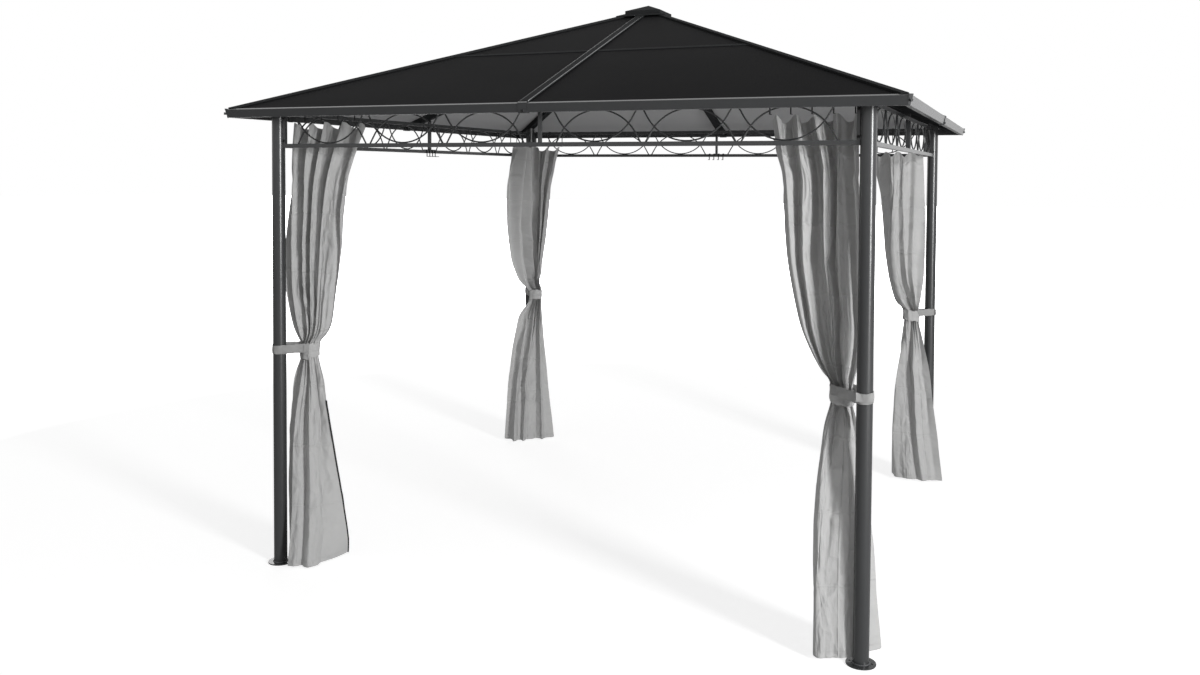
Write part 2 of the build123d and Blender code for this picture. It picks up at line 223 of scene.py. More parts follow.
@dataclass(frozen=True)
class WovenPolyester:
    """Plain-woven polyester of about 160 g per square metre: matt, a little see-through."""

    name: str = "woven_polyester"
    shade: str = "#b4b4b4"
    light_shade: str = "#c6c6c5"
    thread: float = 1.6
    crease_pitch: Point = (0.33, 0.27)
    crease_half: float = 0.008
    hem: float = 0.028
    stitch_half: float = 0.0022
    through: float = 0.16

    def material(self) -> Material:
        """Builds the cloth over its UV map, metres of flat cloth from the lower free corner."""
        material, tree = new_material(self.name)
        place = add_node(tree, "UVMap", uv_map="flat").outputs["UV"]
        split = add_node(tree, "SeparateXYZ", {0: place}).outputs
        cloud = noise(tree, place, 9.0, 5.0, 0.6).outputs["Fac"]
        tone = blend(tree, cloud, self.shade, self.light_shade)
        # Threads stand about 0.4 mm apart. They are drawn four times as coarse, so that they show.
        turn = 2 * math.pi * per_metre(self.thread)
        weave = maths(
            tree,
            "MULTIPLY",
            *(maths(tree, "SINE", maths(tree, "MULTIPLY", split[axis], turn)) for axis in "XY"),
        )
        # The crumple is bent cells, whose borders are sharp little creases.
        bend = noise(tree, place, 7.0, 2.0).outputs["Color"]
        bent = add_node(
            tree, "VectorMath", {0: bend, 1: (0.16, 0.16, 0.0), 2: place}, operation="MULTIPLY_ADD"
        )
        inputs = {"Scale": 9.0, "Detail": 1.0, "Roughness": 0.45, "Randomness": 1.0}
        inputs["Vector"] = bent.outputs["Vector"]
        crumple = add_node(tree, "TexVoronoi", inputs, feature="F1", distance="EUCLIDEAN")
        folds = [
            ranged(
                tree,
                maths(tree, "PINGPONG", split[axis], pitch / 2),
                *(0.0, self.crease_half, 1.0, 0.0),
                interpolation_type="SMOOTHSTEP",
            )
            for axis, pitch in zip("XY", self.crease_pitch)
        ]
        stitch = maths(tree, "COMPARE", split["Y"], self.hem, self.stitch_half)
        normal = bumped(tree, weave, 0.25, 0.0005)
        normal = bumped(tree, crumple.outputs["Distance"], 0.6, 0.02, normal)
        normal = bumped(tree, maths(tree, "ADD", *folds), 0.6, 0.003, normal)
        seam = {"Height": stitch, "Strength": 0.7, "Distance": 0.002, "Normal": normal}
        normal = add_node(tree, "Bump", seam, invert=True).outputs["Normal"]
        inputs = {
            "Base Color": tone,
            "Roughness": 0.82,
            "Specular IOR Level": 0.25,
            "Sheen Weight": 0.15,
            "Sheen Roughness": 0.5,
            "Normal": normal,
        }
        shader = add_node(tree, "BsdfPrincipled", inputs)
        glow = add_node(tree, "BsdfTranslucent", {"Color": tone, "Normal": normal})
        both = {0: self.through, 1: shader.outputs[0], 2: glow.outputs[0]}
        return shaded(material, add_node(tree, "MixShader", both))


@dataclass(frozen=True)
class PlainFinish:
    """A moulded, plated or woven finish of one tone, with a fine grain in its gloss and bump."""

    name: str
    shade: str
    light_shade: str
    roughness: float
    metallic: float = 0.0
    grain: float = 1.5
    depth: float = 0.0002

    def material(self) -> Material:
        """Builds the finish: a noise in Object coordinates moves tone, gloss and height."""
        material, tree = new_material(self.name)
        place = add_node(tree, "TexCoord").outputs["Object"]
        grain = noise(tree, place, per_metre(self.grain), 3.0, 0.6).outputs["Fac"]
        inputs = {
            "Base Color": blend(tree, grain, self.shade, self.light_shade),
            "Metallic": self.metallic,
            "Roughness": ranged(
                tree, grain, 0.3, 0.7, self.roughness - 0.06, self.roughness + 0.06
            ),
            "Normal": bumped(tree, grain, 0.3, self.depth),
        }
        return shaded(material, add_node(tree, "BsdfPrincipled", inputs))


@dataclass
class Finishes:
    """Every material of the gazebo, made once."""

    def __post_init__(self) -> None:
        """Makes the materials."""
        self.coat = PowderCoat().material()
        self.roof_coat = PowderCoat(
            "matt_anthracite_coat", "#2c2d2e", "#333435", 0.5, 0.006
        ).material()
        # The cover edges get a much lighter tone than the rafters' own coat: a painted highlight,
        # besides the real gloss on their round rods.
        self.painted_highlight_edge_coat = PowderCoat(
            "anthracite_edge_painted_highlight", "#626364", "#6c6d6e", 0.22, 0.7
        ).material()
        self.cloth = WovenPolyester().material()
        # The tie's loop and loose end take the curtain's cloth in a darker tone: painted shade.
        self.painted_shade_strap = WovenPolyester(
            "polyester_strip_painted_shade", "#9a9a9a", "#aaaaa9", hem=0.004
        ).material()
        self.sheet_front = RoofSheet("smoked_sheet_front", (1.0, 0.0, 0.0)).material()
        self.sheet_side = RoofSheet("smoked_sheet_side", (0.0, 1.0, 0.0)).material()
        self.hook = PlainFinish("black_moulded_nylon", "#161616", "#1e1e1f", 0.45).material()
        self.screw = PlainFinish(
            "black_zinc_plate", "#1b1b1c", "#29292a", 0.32, 0.7, 0.8
        ).material()
        self.tape = PlainFinish("black_zip_tape", "#1c1c1d", "#2c2c2d", 0.85, 0.0, 1.2).material()
        self.weld = PlainFinish(
            "coated_weld_bead", "#414244", "#505153", 0.45, 0.0, 3.0, 0.0006
        ).material()

    def for_node(self, node: str) -> Material:
        """Chooses the finish of a carried-over CAD node by its name."""
        if node.startswith("roof_panels"):
            return self.sheet_front if node.endswith(("front", "back")) else self.sheet_side
        if node.startswith("rail_hooks"):
            return self.hook
        if node.startswith(("curtain", "tie_back")):
            return self.cloth
        if node.startswith(("post", "truss", "eave")):
            return self.coat
        return self.roof_coat

    def dress(self, nodes: dict[str, Object]) -> None:
        """Gives every CAD node the finish that its name asks for."""
        for name, node in nodes.items():
            node.data.materials.clear()
            node.data.materials.append(self.for_node(name))
        log.info("finishes on %d CAD nodes", len(nodes))


def coordinates(piece: Object) -> np.ndarray:
    """Reads a piece's vertices, count by three, in metres."""
    places = np.empty(len(piece.data.vertices) * 3, dtype=np.float32)
    piece.data.vertices.foreach_get("co", places)
    return places.reshape(-1, 3)


def unit(vectors: np.ndarray) -> np.ndarray:
    """Scales vectors to a length of one."""
    return vectors / np.linalg.norm(vectors, axis=-1, keepdims=True)


def run_lengths(points: np.ndarray, axis: int = 0) -> np.ndarray:
    """Lengths of the runs between neighbouring points along one axis of a grid."""
    return np.linalg.norm(np.diff(points, axis=axis), axis=-1)


def distance_along(path: np.ndarray) -> np.ndarray:
    """Distance from a path's start to each of its points."""
    return np.concatenate([[0.0], np.cumsum(run_lengths(path))])


def directions(angles: np.ndarray) -> np.ndarray:
    """Unit plan directions, one for each angle."""
    return np.stack([np.cos(angles), np.sin(angles)], axis=1)


def surface(
    name: str,
    points: np.ndarray,
    material: Material,
    flat: Optional[np.ndarray] = None,
    closed: bool = False,
    capped: bool = False,
) -> Object:
    """Makes a smooth mesh from a grid of points.

    Args:
        name: The piece's name.
        points: Grid of points, rows by columns by three, in metres.
        material: Its finish.
        flat: Grid of flat positions for the UV map "flat", in metres.
        closed: Whether the last column joins the first.
        capped: Whether the first and the last row are closed with a face.

    Returns:
        The new object.
    """
    rows, columns = points.shape[:2]
    number = np.arange(rows * columns).reshape(rows, columns)
    right = np.roll(number, -1, axis=1) if closed else number[:, 1:]
    left = number if closed else number[:, :-1]
    quads = np.stack([left[:-1], right[:-1], right[1:], left[1:]], axis=-1).reshape(-1, 4)
    faces = quads.tolist()
    if capped:
        faces += [number[0, ::-1].tolist(), number[-1].tolist()]
    mesh = bpy.data.meshes.new(name)
    mesh.from_pydata(points.reshape(-1, 3).tolist(), [], faces)
    mesh.polygons.foreach_set("use_smooth", np.ones(len(faces), dtype=bool))
    if flat is not None:
        layer = mesh.uv_layers.new(name="flat")
        corners = np.empty(len(mesh.loops), dtype=np.int32)
        mesh.loops.foreach_get("vertex_index", corners)
        layer.data.foreach_set("uv", flat.reshape(-1, 2)[corners].astype(np.float32).ravel())
    mesh.materials.append(material)
    mesh.update()
    piece = bpy.data.objects.new(name, mesh)
    bpy.context.scene.collection.objects.link(piece)
    return piece


def joined(name: str, pieces: Sequence[Object]) -> Object:
    """Joins pieces into one object of the given name, and returns it."""
    bpy.ops.object.select_all(action="DESELECT")
    for piece in pieces:
        piece.select_set(True)
    bpy.context.view_layer.objects.active = pieces[0]
    bpy.ops.object.join()
    pieces[0].name = name
    return pieces[0]


def corner_cut_basis(guides: int, count: int, rounds: int = 5) -> np.ndarray:
    """Weights of a smooth line's points over the guide points that it hugs.

    Each round cuts every corner of the guide line at a quarter and at three quarters of its
    runs. Cutting the unit vectors in place of real points gives the weights.

    Args:
        guides: How many guide points there are.
        count: How many points the line gets.
        rounds: How often the corners are cut.

    Returns:
        Weights, count by guides.
    """
    line = np.eye(guides)
    for _ in range(rounds):
        near = 0.75 * line[:-1] + 0.25 * line[1:]
        far = 0.25 * line[:-1] + 0.75 * line[1:]
        inside = np.stack([near, far], axis=1).reshape(-1, guides)[1:-1]
        line = np.concatenate([line[:1], inside, line[-1:]])
    place = np.linspace(0.0, 1.0, len(line))
    even = np.linspace(0.0, 1.0, count)
    return np.stack([np.interp(even, place, line[:, k]) for k in range(guides)], axis=1)


def smooth_noise(rng: np.random.Generator, s: np.ndarray, waves: int, swing: float) -> np.ndarray:
    """Slow random wobble along s, from 0 to 1: a sum of sine waves with random phases."""
    total = np.zeros_like(s)
    for k in range(1, waves + 1):
        total = total + np.sin(2 * np.pi * (k * s + rng.random())) * rng.uniform(0.4, 1.0) / k
    return swing * total


class Corner(Enum):
    """A post's corner, with the signs of its X and its Y."""

    FRONT_RIGHT = (1, -1)
    BACK_RIGHT = (1, 1)
    BACK_LEFT = (-1, 1)
    FRONT_LEFT = (-1, -1)

    @property
    def label(self) -> str:
        """The corner's part of a piece's name."""
        return self.name.lower()

    @property
    def hand(self) -> int:
        """One where the corner's own axes mirror the gazebo's, else minus one."""
        return -self.value[0] * self.value[1]

    def place(self, plan: np.ndarray, z: np.ndarray) -> np.ndarray:
        """Turns points on the corner's own axes, which start beside the post, into metres.

        Args:
            plan: Millimetres in along the front or back rail and in along the side rail.
            z: Millimetres above the ground.

        Returns:
            Points on the gazebo's axes.
        """
        x, y = np.moveaxis(np.array(self.value) * (ORIGIN - plan), -1, 0)
        return np.stack(np.broadcast_arrays(x, y, z), axis=-1) * MM


WAIST = ((112, 76), (90, 71), (62, 69), (34, 64))
WIDE_WAIST = ((97, 45), (85, 57), (70, 70), (57, 85), (45, 97))
# Each curtain's plan line at some heights, in millimetres of its corner's own axes, from the
# free edge to the post.
LEVELS = {
    Corner.FRONT_RIGHT: {
        2045: ((370, 55), (250, 55), (120, 55), (8, 55)),
        1811: ((322, 52), (215, 58), (105, 60), (12, 58)),
        1500: ((280, 50), (190, 62), (95, 64), (2, 60)),
        1227: ((222, 52), (150, 68), (80, 70), (0, 62)),
        1100: ((165, 62), (120, 70), (75, 70), (16, 66)),
        1016: WAIST,
        954: WAIST,
        870: ((136, 62), (122, 20), (36, 66), (14, 84)),
        700: ((154, 50), (144, -30), (26, 32), (-12, 100)),
        400: ((161, 35), (154, -74), (20, 2), (-48, 117)),
        17: ((152, 10), (142, -92), (15, -20), (-84, 104)),
    },
    Corner.FRONT_LEFT: {
        2045: ((408, 55), (280, 55), (150, 55), (10, 50)),
        1780: ((315, 53), (215, 58), (110, 60), (-8, 36)),
        1500: ((268, 53), (180, 62), (90, 60), (-26, 38)),
        1266: ((216, 55), (150, 65), (80, 62), (-24, 38)),
        1100: ((188, 62), (130, 68), (75, 66), (5, 50)),
        1016: WAIST,
        954: WAIST,
        870: ((152, 66), (105, 60), (50, 50), (0, 46)),
        700: ((180, 70), (138, 35), (50, 5), (-17, 36)),
        400: ((212, 95), (172, 5), (65, -30), (-25, 30)),
        153: ((232, 130), (190, -25), (78, -66), (-23, 30)),
        17: ((196, 170), (192, -40), (85, -92), (-18, 28)),
    },
    Corner.BACK_RIGHT: {
        1957: ((318, 12), (190, 122), (176, 122), (8, 40)),
        1591: ((256, 2), (172, 150), (162, 150), (-8, 45)),
        1381: ((226, 8), (160, 150), (150, 150), (0, 48)),
        1205: ((190, 28), (140, 128), (128, 128), (8, 56)),
        1076: ((155, 52), (112, 88), (84, 88), (25, 64)),
        1016: WAIST,
        954: WAIST,
        870: ((126, 58), (100, 72), (60, 76), (4, 66)),
        748: ((146, 50), (105, 78), (50, 80), (-28, 72)),
        532: ((170, 42), (115, 90), (35, 88), (-56, 80)),
        300: ((182, 35), (120, 100), (20, 95), (-86, 85)),
        17: ((186, 12), (95, 125), (-20, 105), (-122, 80)),
    },
    Corner.BACK_LEFT: {
        1997: ((244, 55), (150, 50), (52, 52), (50, 200), (20, 335)),
        1762: ((194, 55), (120, 55), (60, 68), (50, 200), (8, 365)),
        1483: ((157, 58), (105, 60), (60, 80), (45, 190), (0, 335)),
        1240: ((118, 60), (90, 62), (65, 85), (45, 150), (5, 280)),
        1100: ((100, 58), (85, 62), (68, 80), (50, 115), (15, 195)),
        1016: WIDE_WAIST,
        954: WIDE_WAIST,
        870: ((106, 55), (85, 60), (60, 90), (28, 125), (-5, 175)),
        700: ((122, 58), (90, 75), (50, 110), (15, 160), (-25, 210)),
        400: ((158, 60), (105, 90), (45, 140), (-10, 185), (-66, 226)),
        17: ((203, 52), (130, 95), (60, 180), (5, 215), (-92, 232)),
    },
}


@dataclass
class Curtain:
    """One gathered curtain: pleated at the rail, drawn in at the tie, loose at the hem.

    Its hooks are distances along its top line.
    """

    corner: Corner
    hooks: Sequence[float]
    seed: int
    hem_folds: float = 3.0
    pleat_swing: float = 44.0
    hem_swing: float = 34.0
    waist_swing: float = 40.0
    crest: float = 1.35
    skew: float = 0.85
    lean: float = 0.4
    uneven: float = 0.34
    tape_top: float = 0.0
    tie_top: float = 1016.0
    tie_bottom: float = 954.0
    fade_height: float = 900.0
    fade_length: float = 75.0
    sag: float = 30.0
    crease: float = 2.6
    crease_heights: Sequence[float] = (20, 270, 520, 760, 1030, 1300, 1560, 1830, 2100)
    hook_half: float = 5.0
    hook_drop: float = 8.0
    post_clear: float = 33.0
    ground_clear: float = 14.0
    rail_foot: float = 1880.0
    rail_face: float = 1311.0
    rows: int = 124
    columns: int = 136
    frames: int = 10
    slack: float = 0.012
    settle_cap: float = 14.0

    @property
    def levels(self) -> dict[float, Sequence[Point]]:
        """The cloth's plan line at some heights."""
        return LEVELS[self.corner]

    @property
    def top(self) -> float:
        """Height of the top edge."""
        return max(self.levels)

    @property
    def hem(self) -> float:
        """Height of the lower edge."""
        return min(self.levels)

    def plan_lines(self, z: np.ndarray) -> np.ndarray:
        """Plan line of every row.

        Each level's points are blended over the height by straight runs, softened over a few
        rows, and the row's line is the smooth curve that hugs its points.

        Args:
            z: Heights of the rows, from the top down.

        Returns:
            Rows by columns by two, in millimetres.
        """
        heights = np.array(sorted(self.levels))
        guides = np.array([self.levels[h] for h in heights], dtype=float)
        strands = np.stack(
            [
                [np.interp(z, heights, guides[:, k, axis]) for axis in range(2)]
                for k in range(guides.shape[1])
            ]
        ).transpose(2, 0, 1)
        kernel = np.hanning(9)
        kernel /= kernel.sum()
        padded = np.pad(strands, ((4, 4), (0, 0), (0, 0)), mode="reflect", reflect_type="odd")
        soft = sum(weight * padded[k:k + len(z)] for k, weight in enumerate(kernel))
        basis = corner_cut_basis(guides.shape[1], self.columns)
        return np.einsum("ck,rkd->rcd", basis, soft)

    def grid(self) -> tuple[np.ndarray, np.ndarray]:
        """Works out the cloth before it settles.

        A row of the cloth is its plan line with folds across it. At the rail their crests
        stand at the hooks, on the side of the rail. The rail's folds fade into the hem's at
        the tie, and folds of storage add a shallow zigzag with sharp corners.

        Returns:
            The points in metres and their flat positions in metres, rows by columns.
        """
        rng = np.random.default_rng(self.seed)
        s = np.linspace(0.0, 1.0, self.columns)
        v = np.linspace(0.0, 1.0, self.rows)[:, None]
        z = self.top + (self.hem - self.top) * v
        line = self.plan_lines(z[:, 0])
        up = np.clip((z - self.tie_top) / (self.top - self.tie_top), 0.0, 1.0)
        down = np.clip((self.tie_bottom - z) / (self.tie_bottom - self.hem), 0.0, 1.0)
        run = unit(np.gradient(line, axis=1))
        across = np.stack([-run[..., 1], run[..., 0]], axis=-1)

        along = distance_along(line[0])
        pitch = float(np.mean(np.diff(self.hooks)))
        marks = [self.hooks[0] - pitch, *self.hooks, self.hooks[-1] + pitch]
        rail_phase = np.interp(along, marks, np.arange(-1.0, len(self.hooks) + 1.0))[None]
        lean = smooth_noise(rng, s, 3, self.lean)[None] * np.sin(0.5 * np.pi * (1 - up))
        lean = lean + 0.04 * np.sin(5.0 * up)
        rail_fold = self.fold_wave(rail_phase + lean)
        rail_fold += 0.16 * (1 - up) * np.cos(4 * np.pi * (rail_phase + rng.random()))
        hem_phase = self.hem_folds * s[None] + smooth_noise(rng, s, 2, 0.2)[None]
        hem_fold = self.fold_wave(hem_phase + 0.05 * np.sin(3.1 * v))
        hem_fold = hem_fold * (0.85 + smooth_noise(rng, s, 3, 0.2)[None])
        share = 1 / (1 + np.exp(-(z - self.fade_height) / self.fade_length))
        fold = rail_fold * share + hem_fold * (1 - share)
        ends = np.sqrt(np.clip(1 - (2 * s - 1) ** 2, 0.0, 1.0))[None]
        waist = self.waist_swing * (0.25 + 0.75 * ends)
        rise, drop = up**0.7, 1 - (1 - down) ** 1.6
        swing = waist + (self.pleat_swing - waist) * rise + (self.hem_swing - waist) * drop
        depth = 1 + smooth_noise(rng, s, 4, self.uneven)[None] * np.minimum(up + down, 1.0)
        offset = swing * depth * fold
        turns = [(-1) ** k * self.crease for k in range(len(self.crease_heights))]
        zigzag = np.interp(z, self.crease_heights, turns)
        loose = np.clip(1.6 * down, 0.0, 1.0) + 0.3 * np.sin(np.pi * up)
        offset = offset + loose * zigzag
        plan = line + across * offset[..., None]

        dip = self.sag * np.sin(np.pi * rail_phase) ** 2 * (1 - v) ** 3
        points = self.corner.place(plan, z - dip)
        width = run_lengths(points, 1).sum(axis=1).mean()
        flat = np.stack(
            np.broadcast_arrays(s[None] * width, (1 - v) * (self.top - self.hem) * MM), axis=-1
        )
        return points, flat

    def fold_wave(self, phase: np.ndarray) -> np.ndarray:
        """Height of the folds, from one at a whole phase to minus one halfway between.

        It is one minus twice a power of a sine of half the phase. The phase is bent first,
        which makes the sides that face the gazebo's right broad and the others steep.

        Args:
            phase: The phase, in folds.

        Returns:
            The height at each phase.
        """
        bent = phase - self.skew * self.corner.hand * np.sin(np.pi * phase) ** 2 / np.pi
        return 1 - 2 * np.abs(np.sin(np.pi * bent)) ** self.crest

    def pins(self) -> np.ndarray:
        """How firmly each point is held, from 0 to 1: at the hooks and in the tie, wholly."""
        z = np.linspace(self.top, self.hem, self.rows)[:, None]
        length = run_lengths(self.plan_lines(z[:, 0])[0]).sum()
        along = np.linspace(0.0, 1.0, self.columns)[None] * length
        near = np.min([np.abs(along - hook) for hook in self.hooks], axis=0)
        hooked = (near < self.hook_half) & (z > self.top - self.hook_drop)
        middle = (self.tie_top + self.tie_bottom) / 2
        tied = np.clip(1.6 - np.abs(z - middle) / (self.tie_top - middle), 0.0, 1.0)
        return np.maximum(hooked.astype(float), np.broadcast_to(tied, (self.rows, self.columns)))

    def settle(self, cloth: Object, weights: np.ndarray) -> None:
        """Lets the cloth fall between its hooks and its tie, and keeps the result.

        The cloth is simulated a little larger than it was drawn, which buckles it into the
        soft wrinkles of real cloth. Each point's move is held under a cap. Then no point is
        left in the post or below the ground.

        Args:
            cloth: The cloth.
            weights: How firmly each vertex is held.
        """
        group = cloth.vertex_groups.new(name="held")
        levels = np.round(weights.ravel() * 10).astype(int)
        for level in range(1, 11):
            group.add(np.nonzero(levels == level)[0].tolist(), level / 10, "REPLACE")
        modifier = cloth.modifiers.new("settle", "CLOTH")
        settings = modifier.settings
        settings.quality = 3
        settings.mass = 0.004
        settings.tension_stiffness = settings.compression_stiffness = 12.0
        settings.shear_stiffness = 6.0
        settings.bending_stiffness = 0.4
        settings.air_damping = 2.0
        settings.vertex_group_mass = group.name
        settings.shrink_min = -self.slack
        modifier.collision_settings.use_collision = False
        modifier.point_cache.frame_start = 1
        modifier.point_cache.frame_end = self.frames
        scene = bpy.context.scene
        for step in range(1, self.frames + 1):
            scene.frame_set(step)
        evaluated = cloth.evaluated_get(bpy.context.evaluated_depsgraph_get())
        fallen = coordinates(evaluated)
        cloth.modifiers.remove(modifier)
        cloth.vertex_groups.remove(group)
        scene.frame_set(1)
        drawn = coordinates(cloth)
        moved = fallen - drawn
        far = np.linalg.norm(moved, axis=1, keepdims=True)
        cap = self.settle_cap * MM
        moved *= cap * np.tanh(far / cap) / np.maximum(far, 1e-9)
        cloth.data.vertices.foreach_set("co", self.clear(drawn + moved).ravel())
        cloth.data.update()

    def clear(self, places: np.ndarray) -> np.ndarray:
        """Moves points, in metres, out of the post, off the ground and back from the rails."""
        places = places.copy()
        post = np.array(self.corner.value) * POST * MM
        away = places[:, :2] - post
        far = np.linalg.norm(away, axis=1, keepdims=True)
        push = np.maximum(self.post_clear * MM / np.maximum(far, 1e-6), 1.0)
        places[:, :2] = post + away * push
        places[:, 2] = np.maximum(places[:, 2], self.ground_clear * MM)
        high = places[:, 2] > self.rail_foot * MM
        for axis, sign in enumerate(self.corner.value):
            limit = sign * np.minimum(sign * places[:, axis], self.rail_face * MM)
            places[:, axis] = np.where(high, limit, places[:, axis])
        return places

    def build(self, finishes: Finishes) -> Object:
        """Makes the cloth and, where it has a tape top, its dark edge tape.

        Args:
            finishes: The gazebo's materials.

        Returns:
            The cloth.
        """
        points, flat = self.grid()
        weights = self.pins()
        if self.corner.hand > 0:
            points, flat, weights = points[:, ::-1], flat[:, ::-1], weights[:, ::-1]
        name = f"curtain_cloth_{self.corner.label}"
        cloth = surface(name, points, finishes.cloth, flat)
        self.settle(cloth, weights)
        grid = coordinates(cloth).reshape(self.rows, self.columns, 3)
        smooth = cloth.modifiers.new("smooth", "SUBSURF")
        smooth.levels = smooth.render_levels = 1
        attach(cloth, "root")
        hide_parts(f"curtain_{self.corner.label}")
        tapes = self.tapes(grid, finishes) if self.tape_top else []
        return cloth

    def tapes(self, grid: np.ndarray, finishes: Finishes) -> list[Object]:
        """Sews the black zip tape along the free edge, a narrow folded strip over the cloth.

        Args:
            grid: The cloth's points.
            finishes: The gazebo's materials.

        Returns:
            The tape.
        """
        free = grid[:, ::-1] if self.corner.hand > 0 else grid
        free = free[free[:, 0, 2] < self.tape_top * MM]
        edge = free[:, :1]
        inward = unit(free[:, 2:3] - edge)
        side = np.cross(unit(np.gradient(edge, axis=0)), inward)
        upper = [(5.5, 1.6), (1.5, 2.0), (-2.0, 1.4)]
        section = np.array(upper + [(-2.9, 0.0)] + [(a, -b) for a, b in upper[::-1]]) * MM
        points = edge + section[None, :, :1] * inward + section[None, :, 1:] * side
        tape = surface(f"zip_tape_{self.corner.label}", points, finishes.tape, closed=True)
        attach(tape, "root")
        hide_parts(f"curtain_{self.corner.label}")
        return [tape]


@dataclass
class TieBack:
    """A sewn strip of the curtain's cloth: a band round the folds and a loop round the post."""

    corner: Corner
    cloth: Object
    finishes: Finishes
    height: float = 985.0
    band_width: float = 62.0
    loop_width: float = 40.0
    tilt: float = 10.0
    post_radius: float = 31.8
    band_clear: float = 1.5
    overlap_clear: float = 3.5
    overlap: int = 42
    loop_clear: float = 4.5
    end_clear: float = 1.6
    tail: float = 20.0

    def __post_init__(self) -> None:
        """Measures how far the gathered cloth reaches each way in plan, and smooths that."""
        places = coordinates(self.cloth) / MM
        near = np.abs(places[:, 2] - self.height) < self.band_width / 2
        plan = ORIGIN - places[near, :2] * np.array(self.corner.value)
        self.turns = np.linspace(0.0, 2 * np.pi, 360, endpoint=False)
        self.ways = directions(self.turns)
        reach = (plan @ self.ways.T).max(axis=0)
        kernel = np.hanning(31)
        wide = np.concatenate([reach[-15:], reach, reach[:15]])
        self.reach = np.convolve(wide, kernel / kernel.sum(), mode="valid")

    def ribbon(
        self, kind: str, path: np.ndarray, width: float, rise: np.ndarray, rumple: float
    ) -> None:
        """Makes one strip, and carries its upright width along a plan path.

        Across its width the strip bulges outwards by a square law, as a stuffed hem does.

        Args:
            kind: What it is: band, loop or end.
            path: Plan points in the corner's own axes, count by two.
            width: The strip's width.
            rise: How far each point of the path stands above the strip's height.
            rumple: How far its shallow wrinkles stand out.
        """
        v = np.linspace(-0.5, 0.5, 11)[:, None]
        run = unit(np.gradient(path, axis=0))
        across = np.stack([run[:, 1], -run[:, 0]], axis=-1)
        bulge = 1.4 * (1 - (2 * v) ** 4) - 0.5 * (1 - (4 * np.abs(v) - 1) ** 2)
        length = distance_along(path)
        wrinkle = np.sin(2 * np.pi * (length / 43.0 + 0.7 * v))
        wrinkle = wrinkle * np.sin(2 * np.pi * (length / 97.0 - 0.4 * v))
        bulge = bulge + rumple * (1 + wrinkle)
        plan = path[None] + across[None] * bulge[..., None]
        z = self.height + rise[None] + v * (width - 3.0 * rumple * wrinkle)
        points = self.corner.place(plan, z)
        flat = np.stack(np.broadcast_arrays(length[None], (v + 0.5) * width), axis=-1) * MM
        # The band keeps the cloth's own tone; the loop and the end are darker, as painted shade.
        material = self.finishes.cloth if kind == "band" else self.finishes.painted_shade_strap
        strip = surface(f"tie_{kind}_{self.corner.label}", points, material, flat)
        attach(strip, "root")
        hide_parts(f"tie_back_{self.corner.label}")

    def outline(self, spare: float) -> np.ndarray:
        """Plan outline some millimetres outside the gathered cloth, a point for each way."""
        step = self.turns[1]
        slope = (np.roll(self.reach, -1) - np.roll(self.reach, 1)) / (2 * step)
        aside = np.stack([-self.ways[:, 1], self.ways[:, 0]], axis=1)
        return (self.reach + spare)[:, None] * self.ways + slope[:, None] * aside

    def band(self) -> None:
        """Makes the band round the folds, higher toward the post, its ends one over the other."""
        half = len(self.turns) // 2
        around = np.roll(self.outline(self.band_clear), -half, axis=0)
        over = self.outline(self.overlap_clear)[half:half + self.overlap]
        path = np.concatenate([around, over])
        turn = np.linspace(0.0, 2 * np.pi * len(path) / len(around), len(path))
        rise = -self.tilt * np.cos(turn - math.radians(45.0)) + 2.0 * np.sin(3 * turn)
        self.ribbon("band", path[::3], self.band_width, rise[::3], 2.2)

    def loop(self) -> None:
        """Makes the loop, which leaves the band on one side, rounds the post and comes back.

        In plan it is the belt round the band and the post: a straight run, an arc round the
        post and a second straight run. It hangs lower at the post than where it leaves the
        band.
        """
        gap = self.reach + self.loop_clear - self.ways @ POST_PLACE - self.post_radius
        behind = gap < 0
        starts = np.nonzero(behind & ~np.roll(behind, 1))[0][0]
        count = int(behind.sum())
        arc = self.turns[starts] + self.turns[1] * np.linspace(0, count - 1, 61)
        wrap = POST_PLACE + self.post_radius * directions(arc)
        edge = self.outline(self.loop_clear)
        first, last = edge[starts], edge[(starts + count - 1) % len(edge)]
        steps = np.linspace(0.0, 1.0, 18)[:, None]
        lead = first + (wrap[0] - first) * steps[:-1]
        back = wrap[-1] + (last - wrap[-1]) * steps[1:]
        path = np.concatenate([lead, wrap, back])
        share = np.linspace(0.0, 1.0, len(path))
        rise = 4.0 * np.abs(1 - 2 * share) ** 2 + 14.0 + 3.0 * np.sin(2 * np.pi * share)
        self.ribbon("loop", path, self.loop_width, rise, 0.8)

    def end(self) -> None:
        """Makes the loose end, which lies on the loop and bends away from the post.

        In plan it is an arc just outside the loop that runs on along its tangent, and its
        distance from that tangent grows with the square of the length.
        """
        arc = math.radians(225.0) + self.corner.hand * np.linspace(-0.2, 0.95, 16)
        radius = self.post_radius + self.end_clear
        wrap = POST_PLACE + radius * directions(arc)
        onward = unit(wrap[-1] - wrap[-2])
        outward = (wrap[-1] - POST_PLACE) / radius
        far = np.linspace(0.0, 1.0, 12)[1:, None]
        tail = wrap[-1] + self.tail * (onward * far + 0.45 * outward * far**2)
        path = np.concatenate([wrap, tail])
        rise = np.linspace(0.0, 1.0, len(path)) ** 2 * 8.0 + 12.0
        self.ribbon("end", path, self.loop_width - 6.0, rise, 0.5)


